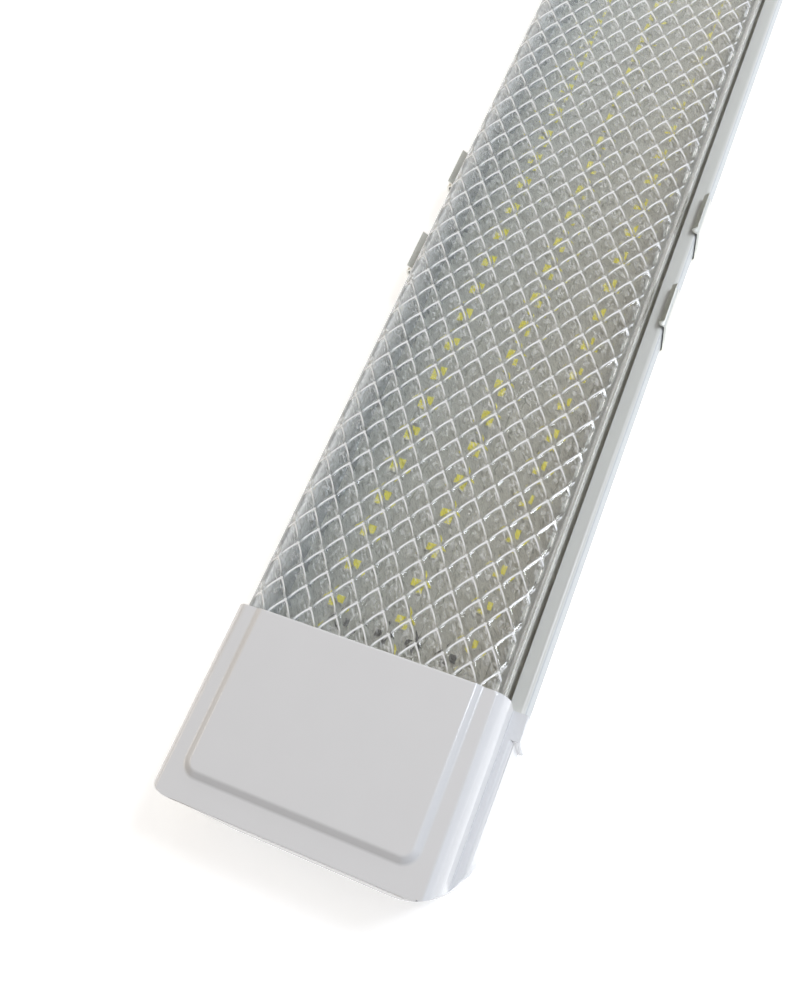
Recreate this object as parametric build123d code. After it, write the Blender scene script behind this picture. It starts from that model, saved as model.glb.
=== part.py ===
from build123d import *
import math
import os

# LED linear light: a folded steel rail under a clear prismatic cover, closed by two
# moulded end caps and held to a ceiling by two spring clips. It lies on its back, with
# X along the lamp to its inlet end, Y across it and Z out of its cover, in millimetres.

# Whole lamp
LENGTH = 600.0              # over both end caps
STAND_OFF = 1.2             # gap that the caps' rims keep under the rail's back
GAP = 0.2                   # play between pieces that slide together
SEAT = 0.1                  # play between a fastener or fitting and its seat

# Base rail, folded from steel sheet
RAIL_WIDTH = 75.4
RAIL_HEIGHT = 10.5          # from its back to the top of its inturned lips
RAIL_SHEET = 0.8
RAIL_LIP = 4.2
RAIL_BEND = 0.9             # radius of the folds at mid-sheet
RAIL_IN_CAP = 5.5           # length of the folded sides inside each cap
TONGUE_WIDTH = 62.0         # flat end of the rail's back under each cap
TONGUE_CORNER = 8.0
TONGUE_END_GAP = 1.0

# Clear cover with a lattice of diamond cells
COVER_HEIGHT = 21.6         # from its feet to its ridges
COVER_WALL = 1.3
COVER_TOP = 1.2             # thickness that is left under the cells
COVER_SHOULDER = 4.0        # outer radius of its two long edges
COVER_IN_CAP = 8.0
COVER_RIB_WIDTH = 1.8       # ribs that catch under the rail's lips
COVER_RIB_HEIGHT = 1.2
CELL_WIDTH = 6.8            # diamond, corner to corner across the lamp
CELL_LENGTH = 9.8           # diamond, corner to corner along the lamp
CELL_DEPTH = 1.0

# Moulded end caps
CAP_LENGTH = 47.0
CAP_WALL = 1.2
CAP_CORNER = 11.0           # plan radius of the two end corners
CAP_EDGE = 1.5              # rounding of the end's top edge
CAP_PLAY = 0.5              # between the cover's side and the cap's
CAP_FLANGE_INSET = 0.2      # step from the rail's side in to the cap's side
CAP_FLANGE_ROUND = 1.6
CAP_SHOULDER_RUN = 2.8      # shoulder below the top's crease, across and down
CAP_SHOULDER_DROP = 5.2
PLATEAU_WIDTH = 57.6        # at its foot
PLATEAU_RISE = 1.0
PLATEAU_INSET = 7.2         # from the cap's end
PLATEAU_CORNER = 4.0
PLATEAU_BEVEL = 58.0        # degrees from upright
LUG_LENGTH = 6.6            # sleeve over the rail's end
LUG_WALL = 0.8
BOSS_DIAMETER = 7.0
BOSS_INSET = 9.0            # from the cap's end
BOSS_SPACING = 54.0
BOSS_HOLE_SPARE = 1.0       # depth left under a screw's tip

# Self-tapping screws that hold each cap from behind
CAP_SCREW_DIAMETER = 2.9
CAP_SCREW_LENGTH = 9.5
CAP_SCREW_HEAD = 6.0
CAP_SCREW_HEAD_HEIGHT = 0.8

# Strips that carry the LEDs
STRIP_COUNT = 3
STRIP_PITCH = 19.0
STRIP_WIDTH = 12.0
STRIP_THICK = 1.0
STRIP_UNDER_CAP = 4.0       # at the plain end
STRIP_SHORT = 3.0           # of the cap's mouth, at the inlet end
LED_PITCH = 10.4
LED_FIRST = 4.0             # from the plain cap's mouth
LED_LAST = 15.0             # least distance from the inlet cap's mouth
LED_LENGTH = 3.5
LED_WIDTH = 2.8
LED_HEIGHT = 0.75
PHOSPHOR_LENGTH = 2.9
PHOSPHOR_WIDTH = 2.4
PHOSPHOR_THICK = 0.15
CHIP_LENGTH = 2.8
CHIP_WIDTH = 2.4
CHIP_HEIGHT = 1.0
CHIP_EDGE = 0.2             # from a chip to its strip's edge
RIVETS_PER_STRIP = 4
RIVET_DIAMETER = 2.2
RIVET_HEAD = 4.0
RIVET_HEAD_HEIGHT = 0.8

# Driver under the inlet cap
BOARD_LENGTH = 31.0
BOARD_WIDTH = 32.5
BOARD_THICK = 1.6
BOARD_START = 1.5           # from the inlet cap's mouth
TRAY_FLOOR = 0.8
TRAY_WALL = 0.8
TRAY_CLEAR = 0.3            # between the tray and the cover's side
TRAY_RIM = 4.0              # height of the tray's walls
PILLAR_HEIGHT = 3.8
PILLAR_DIAMETER = 5.0
PILLAR_INSET = 3.5
BOARD_SCREW_DIAMETER = 2.5
BOARD_SCREW_HEAD = 4.6
BOARD_SCREW_HEAD_HEIGHT = 1.6
CORE_LENGTH = 13.0
CORE_WIDTH = 13.0
CORE_HEIGHT = 10.5
CORE_BAR = 3.0
WINDING_PROUD = 1.0         # of the ferrite's top
FILTER_CAN_DIAMETER = 8.0
FILTER_CAN_HEIGHT = 11.5
OUTPUT_CAN_DIAMETER = 9.0
OUTPUT_CAN_HEIGHT = 13.0
CAN_GROOVE = 0.4            # depth of the rolled groove round a can
FILM_LENGTH = 4.5
FILM_WIDTH = 10.0
FILM_HEIGHT = 9.0
FUSE_DIAMETER = 3.4
FUSE_LENGTH = 8.0
BRIDGE_SIZE = 5.0
BRIDGE_HEIGHT = 2.4
IC_LENGTH = 5.0
IC_WIDTH = 4.0
IC_HEIGHT = 1.5

# Terminal block and earth
BLOCK_LENGTH = 14.0
BLOCK_HEIGHT = 10.0
BLOCK_CLEAR = 1.0           # between the block and the cover's side
BLOCK_START = 18.0          # from the inlet cap's mouth
POLE_PITCH = 7.0
POLE_COUNT = 3
POLE_BORE = 3.2
POLE_HEIGHT = 4.0           # of a pole's bore above the rail's floor
CLAMP_SCREW_DIAMETER = 3.0
CLAMP_SCREW_HEAD = 4.0
CLAMP_SCREW_HEAD_HEIGHT = 3.0
EARTH_SCREW_DIAMETER = 4.0
EARTH_SCREW_HEAD = 7.0
EARTH_SCREW_HEAD_HEIGHT = 2.4
EARTH_START = 5.0           # from the inlet cap's mouth
TAG_DIAMETER = 8.4
TAG_THICK = 0.8
TAG_TAIL = 7.0

# Wires
WIRE_DIAMETER = 1.6
WIRE_BEND = 2.4
WIRE_EDGE = 2.0             # from a wire's landing to the board's edge
LIVE_TURN = 14.3            # along the board, where a mains wire crosses to it
NEUTRAL_TURN = 11.2
LINK_DIAMETER = 1.2
LINK_BEND = 1.6
LINK_RISE = 3.2

# Cable inlet in the far cap
INLET_SIDE = 16.0           # Y of its centre
INLET_HEIGHT = 11.0         # Z of its centre
INLET_BORE = 7.0
GROMMET_NECK = 9.4
GROMMET_OUTER_FLANGE = 13.0
GROMMET_INNER_FLANGE = 12.0
GROMMET_FLANGE_THICK = 1.4
INLET_WALL = 1.6            # wall that the grommet grips
INLET_PAD = 17.0            # diameter of the thickened wall round it

# Spring clips of stainless sheet
CLIP_SHEET = 0.6
CLIP_WIDTH = 13.0
CLIP_BEND = 0.9             # radius of the folds at mid-sheet
CLIP_PLAY = 0.3             # between the clip and the rail
CLIP_CATCH = 2.2            # how far it reaches in over the rail's lip
CLIP_CATCH_RISE = 0.6
CLIP_FLARE_RISE = 3.2       # outward lead-in above the catch
CLIP_FLARE_OUT = 1.2        # how far that reaches past the clip's upright
CLIP_HOLE = 4.5
CLIP_HOLE_SPACING = 30.0
CLIP_NEAR_X = -133.0
CLIP_FAR_X = -99.5

# Levels and half-widths that follow from these sizes
END = LENGTH / 2
MOUTH = END - CAP_LENGTH
RAIL_HALF = RAIL_WIDTH / 2
FLOOR = STAND_OFF + RAIL_SHEET
RAIL_TOP = STAND_OFF + RAIL_HEIGHT
RAIL_END = MOUTH + RAIL_IN_CAP
TONGUE_END = END - CAP_WALL - TONGUE_END_GAP
COVER_HALF = RAIL_HALF - RAIL_LIP - GAP
COVER_FOOT = FLOOR + GAP
RIDGE = COVER_FOOT + COVER_HEIGHT
COVER_END = MOUTH + COVER_IN_CAP
CEILING = RIDGE + GAP
CAP_TOP = CEILING + CAP_WALL
CAP_HALF = COVER_HALF + CAP_PLAY + CAP_WALL
FLANGE_HALF = RAIL_HALF - CAP_FLANGE_INSET
FLANGE_TOP = RAIL_TOP + GAP + CAP_WALL
BOSS_X = END - BOSS_INSET
STRIP_TOP = FLOOR + STRIP_THICK
STRIP_FROM = -MOUTH - STRIP_UNDER_CAP
STRIP_TO = MOUTH - STRIP_SHORT
LED_COUNT = int((2 * MOUTH - LED_FIRST - LED_LAST) / LED_PITCH) + 1
COVER_INNER = COVER_HALF - COVER_WALL
BOARD_X = MOUTH + BOARD_START
TRAY_SPREAD = TRAY_WALL + GAP
BOARD_SIDE = TRAY_SPREAD + TRAY_CLEAR - COVER_INNER
BOARD_Z = FLOOR + TRAY_FLOOR + PILLAR_HEIGHT
BOARD_TOP = BOARD_Z + BOARD_THICK
BLOCK_X = MOUTH + BLOCK_START
BLOCK_WIDTH = POLE_COUNT * POLE_PITCH
BLOCK_SIDE = COVER_INNER - BLOCK_CLEAR - BLOCK_WIDTH
BLOCK_SEAT = FLOOR + POLE_HEIGHT + POLE_BORE / 2
POLE_WIRE = FLOOR + POLE_HEIGHT - POLE_BORE / 2 + WIRE_DIAMETER / 2 + SEAT
EARTH_X = MOUTH + EARTH_START
EARTH_Y = BLOCK_SIDE + (POLE_COUNT - 0.5) * POLE_PITCH
INLET_SEAT = END - GROMMET_FLANGE_THICK - SEAT
STRIPS = [(k - (STRIP_COUNT - 1) / 2) * STRIP_PITCH for k in range(STRIP_COUNT)]
LEDS = [-MOUTH + LED_FIRST + k * LED_PITCH for k in range(LED_COUNT)]


def block(x0, x1, y0, y1, z0, z1):
    """A box between two corners."""
    middle = Pos((x0 + x1) / 2, (y0 + y1) / 2, (z0 + z1) / 2)
    return middle * Box(x1 - x0, y1 - y0, z1 - z0)


def post(x, y, z0, z1, diameter):
    """An upright cylinder between two levels."""
    return Pos(x, y, (z0 + z1) / 2) * Cylinder(diameter / 2, z1 - z0)


def along_x(face, x0, x1):
    """A face drawn across the lamp, drawn out along it."""
    return extrude(Plane.YZ.offset(x0) * face, amount=x1 - x0)


def sheet_face(path, thickness, bend):
    """Section of a bent sheet along an open path of corners, folded at one mid-sheet radius."""
    points = [Vector(*p) for p in path]
    runs = [(b - a).normalized() for a, b in zip(points, points[1:])]
    sides = []
    for side in (1, -1):
        half = side * thickness / 2
        normals = [Vector(-d.Y, d.X) for d in runs]
        edge = [points[0] + normals[0] * half]
        radii = []
        for k in range(1, len(points) - 1):
            mitre = (normals[k - 1] + normals[k]) / (1 + normals[k - 1].dot(normals[k]))
            turn = runs[k - 1].cross(runs[k]).Z
            edge.append(points[k] + mitre * half)
            radii.append(bend - math.copysign(half, half * turn))
        edge.append(points[-1] + normals[-1] * half)
        sides.append((edge, radii))
    (left, left_radii), (right, right_radii) = sides
    outline = [
        FilletPolyline(*left, radius=left_radii),
        Line(left[-1], right[-1]),
        FilletPolyline(*right, radius=right_radii),
        Line(left[0], right[0]),
    ]
    return make_face(outline)


def screw(diameter, length, head, head_height):
    """A round-headed screw that points down, with its head's seat at the origin."""
    shank = Pos(0, 0, -length / 2) * Cylinder(diameter / 2, length)
    cap = Pos(0, 0, head_height / 2) * Cylinder(head / 2, head_height)
    cap = fillet(cap.edges().group_by(Axis.Z)[-1], head_height * 0.45)
    slot = Pos(0, 0, head_height) * Box(head, head / 6, head_height * 0.8)
    return shank + cap - slot


def wire(points, diameter, bend):
    """A round wire along straight runs joined by tangent arcs."""
    path = FilletPolyline(*points, radius=bend)
    return sweep(Plane(path @ 0, z_dir=path % 0) * Circle(diameter / 2), path=path)


def rivet_places():
    """Centres of the rivets, between LEDs and evenly shared along each strip."""
    step = (LED_COUNT - 1) // RIVETS_PER_STRIP
    first = (LED_COUNT - 1 - step * (RIVETS_PER_STRIP - 1)) // 2
    between = [LEDS[first + k * step] + LED_PITCH / 2 for k in range(RIVETS_PER_STRIP)]
    return [(x, y) for y in STRIPS for x in between]


def pillar_places():
    """Centres of the driver tray's pillars: two opposite corners of its board."""
    near = (BOARD_X + PILLAR_INSET, BOARD_SIDE + PILLAR_INSET)
    far = (BOARD_X + BOARD_LENGTH - PILLAR_INSET, BOARD_SIDE + BOARD_WIDTH - PILLAR_INSET)
    return [near, far]


def boss_places(side):
    return [(side * BOSS_X, y) for y in (-BOSS_SPACING / 2, BOSS_SPACING / 2)]


def block_screw_place():
    return BLOCK_X + BLOCK_LENGTH / 2, BLOCK_SIDE + POLE_PITCH


def base_rail():
    """Channel with inturned lips, whose back runs on as a flat tongue under each cap."""
    half = RAIL_HALF - RAIL_SHEET / 2
    low = STAND_OFF + RAIL_SHEET / 2
    high = RAIL_TOP - RAIL_SHEET / 2
    lip = RAIL_HALF - RAIL_LIP
    path = [(-lip, high), (-half, high), (-half, low), (half, low), (half, high), (lip, high)]
    channel = along_x(sheet_face(path, RAIL_SHEET, RAIL_BEND), -RAIL_END, RAIL_END)
    plan = RectangleRounded(2 * TONGUE_END, TONGUE_WIDTH, TONGUE_CORNER)
    rail = channel + extrude(Pos(0, 0, STAND_OFF) * plan, amount=RAIL_SHEET)
    holes = [(x, y, RIVET_DIAMETER) for x, y in rivet_places()]
    holes += [(x, y, CAP_SCREW_DIAMETER) for side in (-1, 1) for x, y in boss_places(side)]
    holes += [(x, y, BOARD_SCREW_DIAMETER) for x, y in pillar_places()]
    holes += [(EARTH_X, EARTH_Y, EARTH_SCREW_DIAMETER)]
    holes += [(*block_screw_place(), BOARD_SCREW_DIAMETER)]
    return rail - [post(x, y, 0, 2 * FLOOR, d + 2 * SEAT) for x, y, d in holes]


def cover_outline():
    """Distance along the cover's section from its middle line to a point and its outward normal."""
    flat = COVER_HALF - COVER_SHOULDER
    centre = RIDGE - COVER_SHOULDER

    def at(distance):
        turn = max(0.0, abs(distance) - flat) / COVER_SHOULDER
        side = math.copysign(1.0, distance)
        reach = min(abs(distance), flat)
        across = side * (reach + COVER_SHOULDER * math.sin(turn))
        normal = Vector(0, side * math.sin(turn), math.cos(turn))
        return Vector(0, across, centre + COVER_SHOULDER * math.cos(turn)), normal

    return at, flat + COVER_SHOULDER * math.pi / 2


def diffuser():
    """Clear cover whose outside is a lattice of diamond pits, with raised ridges between them."""
    at, reach = cover_outline()
    rows = int(reach / (CELL_WIDTH / 2))
    columns = round(2 * COVER_END / (CELL_LENGTH / 2))
    step = 2 * COVER_END / columns

    def lattice(i, j):
        place, normal = at(j * CELL_WIDTH / 2)
        pit = (i + j) % 2 == 1 and 0 < i < columns and abs(j) < rows
        place = place - normal * (CELL_DEPTH if pit else 0.0)
        return Vector(-COVER_END + i * step, place.Y, place.Z)

    def inside(i, j):
        return 0 <= i <= columns and abs(j) <= rows

    faces = []
    for i in range(columns + 1):
        for j in range(-rows, rows + 1):
            if (i + j) % 2 == 0:
                continue
            ring = [(i + 1, j), (i, j + 1), (i - 1, j), (i, j - 1)]
            for a, b in zip(ring, ring[1:] + ring[:1]):
                if inside(*a) and inside(*b):
                    corners = [lattice(i, j), lattice(*a), lattice(*b)]
                    faces.append(Face(Wire.make_polygon(corners)))

    rib_top = RAIL_TOP - RAIL_SHEET - GAP
    rib_half = COVER_HALF + COVER_RIB_WIDTH
    inner_top = RIDGE - CELL_DEPTH - COVER_TOP
    inner_turn = RIDGE - COVER_SHOULDER
    side = [
        (COVER_HALF, inner_turn),
        (COVER_HALF, rib_top),
        (rib_half, rib_top),
        (rib_half, rib_top - COVER_RIB_HEIGHT),
        (COVER_HALF, rib_top - COVER_RIB_HEIGHT),
        (COVER_HALF, COVER_FOOT),
        (COVER_INNER, COVER_FOOT),
        (COVER_INNER, inner_turn),
        (COVER_INNER - (inner_top - inner_turn) / 2, inner_top),
    ]
    last = at(rows * CELL_WIDTH / 2)[0]
    right = [(last.Y, last.Z)] + side
    left = [(-y, z) for y, z in right]
    ends = (-COVER_END, COVER_END)

    def wall(p, q, edge=()):
        corners = [Vector(x, *p) for x in ends] + [Vector(x, *q) for x in reversed(ends)]
        faces.append(Face(Wire.make_polygon(list(edge) or corners)))

    for chain, j in ((right, rows), (left, -rows)):
        top = [lattice(i, j) for i in range(columns + 1)]
        low = [Vector(x, *chain[1]) for x in reversed(ends)]
        wall(chain[0], chain[1], top + low)
        for p, q in zip(chain[1:], chain[2:]):
            wall(p, q)
    wall(right[-1], left[-1])
    for i in (0, columns):
        ridge_line = [lattice(i, j) for j in range(-rows, rows + 1)]
        x = ridge_line[0].X
        around = [Vector(x, *p) for p in right[1:] + left[:0:-1]]
        faces.append(Face(Wire.make_polygon(ridge_line + around)))
    return Solid(Shell(faces))


def cap_section(half, flange_half, flange_top, top, wall, low):
    """Section across a cap: a side flange, an upright and a curved shoulder up to a flat top."""
    drop = CAP_TOP - CAP_SHOULDER_DROP
    radius = (CAP_SHOULDER_RUN**2 + CAP_SHOULDER_DROP**2) / (2 * CAP_SHOULDER_RUN)
    centre = CAP_HALF - radius
    crease = centre + math.sqrt((radius - wall) ** 2 - (top - drop) ** 2)
    turn = math.atan2(top - drop, crease - centre) / 2
    bulge = (
        centre + (radius - wall) * math.cos(turn),
        drop + (radius - wall) * math.sin(turn),
    )
    outline = []
    for side in (1, -1):
        corners = [(0, low), (flange_half, low), (flange_half, flange_top), (half, flange_top)]
        corners += [(half, drop)]
        outline.append(Polyline(*[(side * y, z) for y, z in corners]))
        arc = [(half, drop), bulge, (crease, top)]
        outline.append(ThreePointArc(*[(side * y, z) for y, z in arc]))
    outline.append(Line((crease, top), (-crease, top)))
    return make_face(outline)


def cap_plan(length, half, corner, z0, z1):
    """Upright block on the near cap's plan, whose two end corners are rounded."""
    plan = Pos(-MOUTH, 0, z0) * RectangleRounded(2 * length, 2 * half, corner)
    return extrude(plan, amount=z1 - z0)


def cap_outside():
    """Outside of the near cap: its section drawn along the lamp, rounded at the end."""
    section = cap_section(CAP_HALF, FLANGE_HALF, FLANGE_TOP, CAP_TOP, 0.0, 0.0)
    flange_edges = section.vertices().filter_by(
        lambda v: abs(v.Y - FLANGE_TOP) < SEAT and abs(v.X) > FLANGE_HALF - SEAT
    )
    section = fillet(flange_edges, CAP_FLANGE_ROUND)
    side_view = Pos(-MOUTH, CAP_TOP / 2) * Rectangle(2 * CAP_LENGTH, CAP_TOP)
    side_view = fillet(side_view.vertices().group_by(Axis.Y)[-1], CAP_EDGE)
    body = along_x(section, -END, -MOUTH)
    body &= cap_plan(CAP_LENGTH, FLANGE_HALF, CAP_CORNER, 0, CAP_TOP)
    body &= extrude(Plane.XZ * side_view, amount=FLANGE_HALF, both=True)
    plateau = Pos(-MOUTH, 0, CAP_TOP) * RectangleRounded(
        2 * (CAP_LENGTH - PLATEAU_INSET), PLATEAU_WIDTH, PLATEAU_CORNER
    )
    plateau = extrude(plateau, amount=PLATEAU_RISE, taper=PLATEAU_BEVEL)
    return body + (plateau & block(-END, -MOUTH, -CAP_HALF, CAP_HALF, 0, CAP_TOP + PLATEAU_RISE))


def cap_inside():
    """Hollow of the near cap, open at its back and at its mouth."""
    half = CAP_HALF - CAP_WALL
    flange_half = FLANGE_HALF - CAP_WALL
    below = -CAP_WALL
    section = cap_section(half, flange_half, FLANGE_TOP - CAP_WALL, CEILING, CAP_WALL, below)
    room = along_x(section, -END + CAP_WALL, -MOUTH)
    return room & cap_plan(
        CAP_LENGTH - CAP_WALL, flange_half, CAP_CORNER - CAP_WALL, below, CAP_TOP
    )


def rail_sleeves():
    """Lugs that reach over the rail's two sides at the near cap's mouth."""
    lug_half = RAIL_HALF + GAP + LUG_WALL
    inner_half = CAP_HALF - CAP_WALL
    return [
        block(
            -MOUTH - LUG_LENGTH, -MOUTH, *sorted((s * inner_half, s * lug_half)), 0, FLANGE_TOP
        )
        for s in (-1, 1)
    ]


def end_cap():
    """One end cap at the near end: shell, raised plateau, rail sleeves and screw bosses."""
    half = RAIL_HALF + GAP
    rail_room = block(-RAIL_END - GAP, -MOUTH, -half, half, -CAP_WALL, RAIL_TOP + GAP)
    bosses = [post(x, y, FLOOR, CEILING, BOSS_DIAMETER) for x, y in boss_places(-1)]
    depth = STAND_OFF + CAP_SCREW_LENGTH + BOSS_HOLE_SPARE
    holes = [post(x, y, 0, depth, CAP_SCREW_DIAMETER + 2 * SEAT) for x, y in boss_places(-1)]
    return cap_outside() + rail_sleeves() - cap_inside() - rail_room + bosses - holes


def inlet_cap():
    """The far cap: the same moulding turned round, with a thickened inlet in its end wall."""
    cap = mirror(end_cap(), about=Plane.YZ)
    at = Plane((END, INLET_SIDE, INLET_HEIGHT), z_dir=(1, 0, 0))
    depth = END - INLET_SEAT + INLET_WALL
    cap += extrude(at * Circle(INLET_PAD / 2), amount=-depth)
    cap -= extrude(at * Circle(GROMMET_NECK / 2 + SEAT), amount=-depth)
    cap -= extrude(at * Circle(GROMMET_OUTER_FLANGE / 2 + SEAT), amount=INLET_SEAT - END)
    return cap


def cable_grommet():
    """Rubber grommet, gripping the inlet's wall between two flanges."""
    at = Plane((INLET_SEAT, INLET_SIDE, INLET_HEIGHT), z_dir=(1, 0, 0))
    outer = Pos(0, 0, SEAT / 2) * extrude(
        Circle(GROMMET_OUTER_FLANGE / 2), amount=GROMMET_FLANGE_THICK
    )
    outer = fillet(outer.edges().group_by(Axis.Z)[-1], GROMMET_FLANGE_THICK / 2)
    neck = extrude(Circle(GROMMET_NECK / 2), amount=-INLET_WALL - SEAT)
    neck += extrude(Circle(GROMMET_NECK / 2), amount=SEAT)
    inner = Pos(0, 0, -INLET_WALL - SEAT / 2) * extrude(
        Circle(GROMMET_INNER_FLANGE / 2), amount=-GROMMET_FLANGE_THICK, taper=12
    )
    bore = Cylinder(INLET_BORE / 2, 4 * (GROMMET_FLANGE_THICK + INLET_WALL))
    return at * (outer + neck + inner - bore)


def cap_screws(side):
    """Two wafer-head screws through the rail's tongue into a cap's bosses."""
    one = Rot(180, 0, 0) * screw(
        CAP_SCREW_DIAMETER, CAP_SCREW_LENGTH, CAP_SCREW_HEAD, CAP_SCREW_HEAD_HEIGHT
    )
    return Compound(children=[Pos(x, y, STAND_OFF) * one for x, y in boss_places(side)])


def led_strip(y):
    """Aluminium-backed circuit strip on the rail's floor, with its rivet holes."""
    half = STRIP_WIDTH / 2
    strip = block(STRIP_FROM, STRIP_TO, y - half, y + half, FLOOR, STRIP_TOP)
    holes = [p for p in rivet_places() if p[1] == y]
    return strip - [post(*p, FLOOR, STRIP_TOP, RIVET_DIAMETER + 2 * SEAT) for p in holes]


def led_packages(y):
    """White LED bodies in one row along a strip."""
    one = Box(LED_LENGTH, LED_WIDTH, LED_HEIGHT)
    z = STRIP_TOP + LED_HEIGHT / 2
    return Compound(children=[Pos(x, y, z) * one for x in LEDS])


def led_phosphors(y):
    """Phosphor windows on the LED bodies."""
    one = Box(PHOSPHOR_LENGTH, PHOSPHOR_WIDTH, PHOSPHOR_THICK)
    z = STRIP_TOP + LED_HEIGHT + PHOSPHOR_THICK / 2
    return Compound(children=[Pos(x, y, z) * one for x in LEDS])


def strip_chips():
    """Current-control chips at the strips' facing edges, between the first two LEDs."""
    one = Box(CHIP_LENGTH, CHIP_WIDTH, CHIP_HEIGHT)
    z = STRIP_TOP + CHIP_HEIGHT / 2
    x = LEDS[0] + LED_PITCH / 2
    inset = (STRIP_WIDTH - CHIP_WIDTH) / 2 - CHIP_EDGE
    facing = [y for a, b in zip(STRIPS, STRIPS[1:]) for y in (a + inset, b - inset)]
    return Compound(children=[Pos(x, y, z) * one for y in facing])


def strip_rivets():
    """Rivets that hold the strips to the rail, flush with the rail's back."""
    one = screw(RIVET_DIAMETER, STRIP_THICK + RAIL_SHEET, RIVET_HEAD, RIVET_HEAD_HEIGHT)
    return Compound(children=[Pos(x, y, STRIP_TOP) * one for x, y in rivet_places()])


def driver_tray():
    """Insulating tray on the rail, whose two pillars carry the driver's board."""
    x0, x1 = BOARD_X - TRAY_SPREAD, BOARD_X + BOARD_LENGTH + TRAY_SPREAD
    y0, y1 = BOARD_SIDE - TRAY_SPREAD, BOARD_SIDE + BOARD_WIDTH + TRAY_SPREAD
    tray = block(x0, x1, y0, y1, FLOOR, FLOOR + TRAY_RIM)
    tray -= block(
        x0 + TRAY_WALL,
        x1 - TRAY_WALL,
        y0 + TRAY_WALL,
        y1 - TRAY_WALL,
        FLOOR + TRAY_FLOOR,
        FLOOR + TRAY_RIM,
    )
    pillars = [post(x, y, FLOOR, BOARD_Z, PILLAR_DIAMETER) for x, y in pillar_places()]
    bores = [
        post(x, y, FLOOR, BOARD_Z, BOARD_SCREW_DIAMETER + 2 * SEAT) for x, y in pillar_places()
    ]
    return tray + pillars - bores


def driver_board():
    x0, y0 = BOARD_X, BOARD_SIDE
    board = block(x0, x0 + BOARD_LENGTH, y0, y0 + BOARD_WIDTH, BOARD_Z, BOARD_TOP)
    return board - [
        post(x, y, BOARD_Z, BOARD_TOP, BOARD_SCREW_DIAMETER + 2 * SEAT)
        for x, y in pillar_places()
    ]


def driver_screws():
    """Screws through the board and the tray's pillars into the rail."""
    one = screw(
        BOARD_SCREW_DIAMETER, BOARD_TOP - STAND_OFF, BOARD_SCREW_HEAD, BOARD_SCREW_HEAD_HEIGHT
    )
    return Compound(children=[Pos(x, y, BOARD_TOP) * one for x, y in pillar_places()])


def on_board(u, v):
    """A place on top of the driver's board, as shares of its length and width."""
    return Pos(BOARD_X + u * BOARD_LENGTH, BOARD_SIDE + v * BOARD_WIDTH, BOARD_TOP)


def upright(height):
    """Lifts a centred solid so that it stands on its place."""
    return Pos(0, 0, height / 2)


def core_place():
    return on_board(0.36, 0.45)


def transformer_core():
    """Ferrite frame round the winding, seen as two outer legs and two yokes."""
    frame = Box(CORE_LENGTH, CORE_WIDTH, CORE_HEIGHT)
    window = Box(CORE_LENGTH - 2 * CORE_BAR, CORE_WIDTH - 2 * CORE_BAR, CORE_HEIGHT)
    return core_place() * upright(CORE_HEIGHT) * (frame - window)


def transformer_winding():
    """Taped winding on its bobbin inside the ferrite frame."""
    length = CORE_LENGTH - 2 * CORE_BAR - 2 * GAP
    width = CORE_WIDTH - 2 * CORE_BAR - 2 * GAP
    height = CORE_HEIGHT + WINDING_PROUD
    body = fillet(Box(length, width, height).edges().filter_by(Axis.Z), length / 4)
    return core_place() * upright(height) * body


def can(diameter, height):
    """Electrolytic capacitor with the rolled groove near its foot."""
    body = Cylinder(diameter / 2, height)
    body = fillet(body.edges().group_by(Axis.Z)[-1], diameter / 12)
    groove_ring = Pos(0, 0, -height * 0.36) * (
        Cylinder(diameter, height * 0.06) - Cylinder(diameter / 2 - CAN_GROOVE, height * 0.06)
    )
    return upright(height) * (body - groove_ring)


def filter_capacitor():
    return on_board(0.78, 0.5) * can(FILTER_CAN_DIAMETER, FILTER_CAN_HEIGHT)


def output_capacitor():
    return on_board(0.2, 0.8) * can(OUTPUT_CAN_DIAMETER, OUTPUT_CAN_HEIGHT)


def film_capacitor():
    """Box-shaped mains filter capacitor."""
    body = fillet(Box(FILM_LENGTH, FILM_WIDTH, FILM_HEIGHT).edges(), FILM_LENGTH / 8)
    return on_board(0.86, 0.17) * upright(FILM_HEIGHT) * body


def fuse():
    """Glass-bodied fuse lying on the board, with its two metal ends proud of the body."""
    body = Cylinder(FUSE_DIAMETER / 2, FUSE_LENGTH)
    waist = Cylinder(FUSE_DIAMETER, FUSE_LENGTH / 2) - Cylinder(
        FUSE_DIAMETER / 2 - SEAT, FUSE_LENGTH / 2
    )
    return on_board(0.66, 0.17) * Pos(0, 0, FUSE_DIAMETER / 2) * Rot(90, 0, 0) * (body - waist)


def bridge_rectifier():
    """Four-leg rectifier body with a chamfered polarity edge."""
    body = Box(BRIDGE_SIZE, BRIDGE_SIZE, BRIDGE_HEIGHT)
    edge = body.edges().filter_by(Axis.Y).sort_by(Axis.Z)[-1]
    return on_board(0.36, 0.13) * upright(BRIDGE_HEIGHT) * chamfer(edge, BRIDGE_HEIGHT / 4)


def driver_chip():
    """Driver controller in its small flat package."""
    body = Box(IC_LENGTH, IC_WIDTH, IC_HEIGHT)
    top = body.faces().sort_by(Axis.Z)[-1].edges()
    return on_board(0.56, 0.76) * upright(IC_HEIGHT) * chamfer(top, IC_HEIGHT / 5)


def pole_places():
    return [BLOCK_SIDE + (k + 0.5) * POLE_PITCH for k in range(POLE_COUNT)]


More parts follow.
